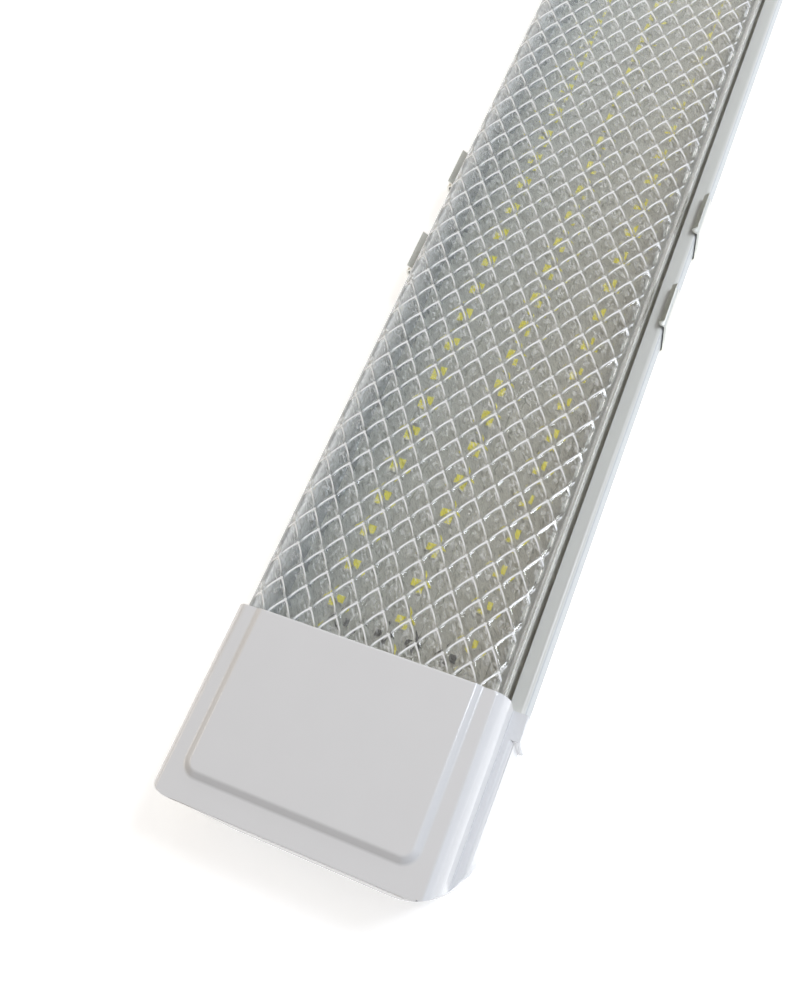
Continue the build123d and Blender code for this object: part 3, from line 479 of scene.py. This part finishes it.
# Painted highlights in arched strokes follow the ridges of both directions and fade in along them.
for lane, other, start, end, strength in (
    (lanes[0], lanes[1], -0.1, 0.35, 1.0),
    (lanes[1], lanes[0], -0.15, 0.5, 0.95),
):
    middle = add(tree, "ShaderNodeMath", {"operation": "SUBTRACT", 1: 0.5}, {0: other}).outputs[0]
    square = add(tree, "ShaderNodeMath", {"operation": "MULTIPLY"}, {0: middle, 1: middle}).outputs[0]
    bowed = add(
        tree, "ShaderNodeMath", {"operation": "MULTIPLY_ADD", 1: stroke_bow}, {0: square, 2: lane}
    ).outputs[0]
    stroke = [(bowed, *stroke_rise, 0.0, 1.0), (bowed, *stroke_fall, 1.0, 0.0)]
    glints.append(stroke + [(other, start, end, 0.0, strength)])
glint = None
for steps in glints:
    product = None
    for value, start, end, low, high in steps:
        span = {"From Min": start, "From Max": end, "To Min": low, "To Max": high}
        soft = {"interpolation_type": "SMOOTHSTEP"}
        step = add(tree, "ShaderNodeMapRange", soft | span, {"Value": value}).outputs["Result"]
        if product is not None:
            step = add(tree, "ShaderNodeMath", {"operation": "MULTIPLY"}, {0: product, 1: step}).outputs[0]
        product = step
    if glint is not None:
        product = add(tree, "ShaderNodeMath", {"operation": "MAXIMUM"}, {0: glint, 1: product}).outputs[0]
    glint = product

# The colour is a painted tint of light from side to side, with painted shade in the streaks and white
# painted highlights in the glints.
painted_light_tint_share = add(
    tree,
    "ShaderNodeMapRange",
    {"interpolation_type": "SMOOTHSTEP", "From Min": -cover_half, "From Max": cover_half},
    {"Value": across},
)
painted_light_tint = add(
    tree,
    "ShaderNodeMix",
    {"data_type": "RGBA", mix_from: linear("f8f8f4"), mix_to: linear("f6fcff")},
    {"Factor": painted_light_tint_share.outputs["Result"]},
)
shade_share = add(
    tree,
    "ShaderNodeMapRange",
    {"interpolation_type": "SMOOTHSTEP", "From Min": 0.5, "From Max": 0.3},
    {"Value": streak},
)
shaded = add(
    tree,
    "ShaderNodeMix",
    {"data_type": "RGBA", "blend_type": "MULTIPLY", mix_to: linear("c6c7c6")},
    {"Factor": shade_share.outputs["Result"], mix_from: painted_light_tint.outputs[mixed]},
)
whitened = add(
    tree,
    "ShaderNodeMix",
    {"data_type": "RGBA", mix_to: linear("ffffff")},
    {"Factor": glint, mix_from: shaded.outputs[mixed]},
)
tree.links.new(whitened.outputs[mixed], shader.inputs["Base Color"])
# Where the painted highlights are, the plastic is made less clear, so that they show white.
clear = add(tree, "ShaderNodeMapRange", {"To Min": 0.94, "To Max": 0.0}, {"Value": glint})
tree.links.new(clear.outputs["Result"], shader.inputs["Transmission Weight"])
finish(cover, clear_acrylic)
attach(cover, "lamp")
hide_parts("diffuser")

# End caps: injection-moulded glossy white plastic, with a raised plateau on top, a flange along
# each side and lugs that sleeve the rail. Screws from behind hold them to the rail's tongues.
# Their edges are softened, and their end corners are tighter at the top than at the foot.

cap_end = cad_box[1].x
cap_over_cover = 1.4 * mm
cap_top = cover_top + cap_over_cover
flange_top = 13.1 * mm
flange_half = 37.5 * mm
upright = 35.0 * mm
rim_from = 31 * mm
plateau_half = 30 * mm
plateau_end_half = 29.5 * mm
plateau_end_from = cap_end - 12 * mm
plateau_end_to = cap_end - 5 * mm
plateau_shift = 1.5 * mm
end_round = 1.5 * mm
end_edge = 0.25 * mm
end_margin = 0.2 * mm
end_start = cap_end - end_round - end_margin
tighter = 1 - end_edge / end_round
rim_soft = 1.0 * mm
plateau_soft = 0.35 * mm
lug_soft = 0.3 * mm
flange_soft = 0.3 * mm
frame_corner = 11 * mm
foot_corner = 16.5 * mm
top_corner = 9 * mm
corner_depth = 8 * mm
corner_cuts = 12
bevel_steps = 4
outline_slack = 0.1 * mm
near = 0.05 * mm
merge_reach = 0.002 * mm
flat_angle = math.radians(0.5)
smooth_angle = math.radians(35)


def copy_node(name, ending):
    """A new piece with a merged copy of a CAD node's mesh, active in edit mode, all selected."""
    bpy.ops.object.select_all(action="DESELECT")
    piece = bpy.data.objects.new(name + ending, nodes[name].data.copy())
    bpy.context.scene.collection.objects.link(piece)
    bpy.context.view_layer.objects.active = piece
    piece.select_set(True)
    start_edit("SELECT")
    bpy.ops.mesh.remove_doubles(threshold=merge_reach)
    return piece


def level(ends, low, high):
    """Whether an edge runs level between two heights, short of the cap's end."""
    short = min(abs(v.x) for v in ends) < end_start
    flat = abs(ends[0].z - ends[1].z) < near
    return short and flat and all(low < v.z < high for v in ends)


def between(ends, inner, outer):
    """Whether both ends of an edge lie between two distances from the cap's middle line."""
    return all(inner < abs(v.y) < outer for v in ends)


def end_line(distance, radius):
    """How far out along X the end lies at a distance from the middle line, for a corner radius."""
    past = min(max(0.0, distance - (flange_half - radius)), radius)
    return cap_end - radius + math.sqrt(radius * radius - past * past)


# Moulded gloss plastic: clean white with soft clear reflections of the room and a hardly
# visible unevenness.
gloss_plastic, tree, shader, place = new_material("glossy_white_abs", {"IOR": 1.54, "Coat Weight": 0.2})
grain(tree, shader, place, "e9e9ea", "e6e6e7", 9 * mm, 0.2, 0.01 * mm)
for name in ("end_cap_near", "end_cap_far"):
    cap = copy_node(name, "_moulding")
    bpy.ops.mesh.dissolve_limited(angle_limit=flat_angle)
    bpy.ops.object.mode_set(mode="OBJECT")
    for vertex in cap.data.vertices:
        x, y, z = abs(vertex.co.x), abs(vertex.co.y), vertex.co.z
        past = x - (cap_end - end_round)
        if past > 0 and z > cap_top - end_round:
            x += (end_round - past) * tighter
            z += (cap_top - z) * tighter
        elif z > cap_top - near and y < plateau_end_half and plateau_end_from < x < plateau_end_to:
            x += plateau_shift
        vertex.co = (math.copysign(x, vertex.co.x), math.copysign(y, vertex.co.y), z)
    lug_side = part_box(name)[1].y
    rim = (cap_top - near, cap_top + near)
    plateau = (cap_top - near, math.inf)
    flange = (flange_top - near, flange_top + near)
    soft_edges = (
        (rim_soft, lambda ends: level(ends, *rim) and between(ends, rim_from, math.inf)),
        (plateau_soft, lambda ends: level(ends, *plateau) and between(ends, -1, plateau_half)),
        (lug_soft, lambda ends: between(ends, lug_side - near, math.inf)),
        (flange_soft, lambda ends: level(ends, *flange) and between(ends, -1, upright + near)),
    )
    for softness, test in soft_edges:
        pick_edges(cap, test)
        bpy.ops.mesh.bevel(offset=softness, segments=bevel_steps)

    # Cuts across the corner let it follow the new outline, which the vertices are then moved to.
    for step in range(corner_cuts):
        turn = math.pi / 2 * step / corner_cuts
        cut = flange_half - foot_corner * (1 - math.sin(turn))
        for sign in (1, -1):
            bpy.ops.mesh.select_all(action="SELECT")
            bpy.ops.mesh.bisect(plane_co=(0, sign * cut, 0), plane_no=(0, 1, 0))
    bpy.ops.object.mode_set(mode="OBJECT")
    for vertex in cap.data.vertices:
        x, y, z = abs(vertex.co.x), abs(vertex.co.y), vertex.co.z
        frame_end = end_line(y, frame_corner)
        soft_end = end_line(y, foot_corner + (top_corner - foot_corner) * min(z / cap_top, 1.0))
        inside = frame_end - x
        if inside < outline_slack:
            x = soft_end
        elif inside < corner_depth:
            x += (soft_end - frame_end) * (1 - inside / corner_depth)
        vertex.co.x = math.copysign(x, vertex.co.x)
    bpy.ops.object.shade_smooth_by_angle(angle=smooth_angle)
    weigh = cap.modifiers.new("flat_faces", "WEIGHTED_NORMAL")
    weigh.keep_sharp = True
    bpy.ops.object.modifier_apply(modifier="flat_faces")
    finish(cap, gloss_plastic)
    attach(cap, "lamp")
    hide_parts(name)

# Spring clips: stainless strip bent into a bracket that snaps over the rail's lips and slides
# along it. The strip's two ends flare out in a short lead-in above the lips.

flare_foot_y = 36.9 * mm
flare_foot_z = 14.0 * mm
flare_keep = 0.4

# Rolled stainless: a pale neutral metal with a soft shine that blurs what it mirrors. Its grain
# is finer on the real clip, and is drawn this coarse to show.
stainless, tree, shader, place = new_material("rolled_stainless", metal)
grain(tree, shader, place, "eeeee9", "dcdcd5", 0.8 * mm, 0.35, 0.002 * mm)
for name in ("clip_near", "clip_far"):
    clip = copy_node(name, "_spring")
    bpy.ops.object.mode_set(mode="OBJECT")
    for vertex in clip.data.vertices:
        if vertex.co.z > flare_foot_z:
            out = (abs(vertex.co.y) - flare_foot_y) * flare_keep
            vertex.co.y = math.copysign(flare_foot_y + out, vertex.co.y)
            vertex.co.z = flare_foot_z + (vertex.co.z - flare_foot_z) * flare_keep
    bpy.ops.object.shade_smooth_by_angle(angle=smooth_angle)
    finish(clip, stainless)
    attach(clip, name)
    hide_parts(name)

# Studio: a plain white floor that the lamp lies on, a pale backdrop, and a soft room of light.
# The room is cooler on the right, warmer on the left and dimmer in front, with three windows.

scene = bpy.context.scene
scene.view_settings.view_transform = "Standard"
floor_size = 8
floor_drop = 0.2 * mm
mottles_per_metre = 3.0
light_aim = Vector((-0.18, 0, 0.02))

bpy.ops.object.select_all(action="DESELECT")
bpy.ops.mesh.primitive_plane_add(size=floor_size, location=(0, 0, -floor_drop))
floor = bpy.context.object
floor.name = "studio_floor"

# White paper on a light table: bright and matt, so that shadows on it stay faint.
paper, tree, shader, place = new_material(
    "white_paper", {"Roughness": 0.9, "Emission Color": linear("ffffff"), "Emission Strength": 0.5}
)
mottle = add(tree, "ShaderNodeTexNoise", {"Scale": mottles_per_metre}, {"Vector": place})
tone = add(
    tree,
    "ShaderNodeMix",
    {"data_type": "RGBA", mix_from: linear("f8f8f8"), mix_to: linear("fbfbfb")},
    {"Factor": mottle.outputs["Fac"]},
)
tree.links.new(tone.outputs[mixed], shader.inputs["Base Color"])
finish(floor, paper)

world = bpy.data.worlds.new("white_room")
scene.world = world
world.use_nodes = True
sky = world.node_tree
sky.nodes.clear()
outward = add(sky, "ShaderNodeTexCoord").outputs["Generated"]
axes = add(sky, "ShaderNodeSeparateXYZ", links={"Vector": outward})
side = add(sky, "ShaderNodeMapRange", {"From Min": -0.8, "From Max": 0.8}, {"Value": axes.outputs["Y"]})
room_colour = add(
    sky,
    "ShaderNodeMix",
    {"data_type": "RGBA", mix_from: linear("e9f2ff"), mix_to: linear("d8c7ad")},
    {"Factor": side.outputs["Result"]},
)
fore = add(
    sky,
    "ShaderNodeMapRange",
    {"From Min": -0.75, "From Max": 0.35, "To Min": 0.18, "To Max": 0.8},
    {"Value": axes.outputs["X"]},
)
room = add(
    sky,
    "ShaderNodeBackground",
    links={"Color": room_colour.outputs[mixed], "Strength": fore.outputs["Result"]},
)
backdrop = add(sky, "ShaderNodeBackground", {"Color": linear("f6f6f5")})
seen = add(sky, "ShaderNodeLightPath").outputs["Is Camera Ray"]
whole = add(sky, "ShaderNodeMixShader", links={0: seen, 1: room.outputs[0], 2: backdrop.outputs[0]})
add(sky, "ShaderNodeOutputWorld", links={"Surface": whole.outputs[0]})

for name, direction, distance, size, power, colour in (
    ("window_right", (0.3, -0.5, 0.85), 1.1, 0.3, 5.0, "f2f7ff"),
    ("window_far", (0.95, 0.15, 0.45), 1.2, 0.6, 1.0, "f4fbff"),
    ("window_left", (-0.1, 0.8, 0.6), 1.4, 0.5, 2.0, "fff2e4"),
):
    window = bpy.data.lights.new(name, "AREA")
    window.size = size
    window.energy = power
    window.color = linear(colour)[:3]
    holder = bpy.data.objects.new(name, window)
    holder.location = light_aim + Vector(direction).normalized() * distance
    holder.rotation_euler = (light_aim - holder.location).to_track_quat("-Z", "Y").to_euler()
    scene.collection.objects.link(holder)

camera_data = bpy.data.cameras.new("photo_camera")
camera_data.lens = 36.07
camera_data.sensor_width = 36.0
camera_data.clip_start = 10 * mm
camera = bpy.data.objects.new("photo_camera", camera_data)
camera.location = (-0.3058, -0.0695, 0.2411)
camera.rotation_euler = [math.radians(a) for a in (27.138, 9.296, -67.713)]
scene.collection.objects.link(camera)
scene.camera = camera
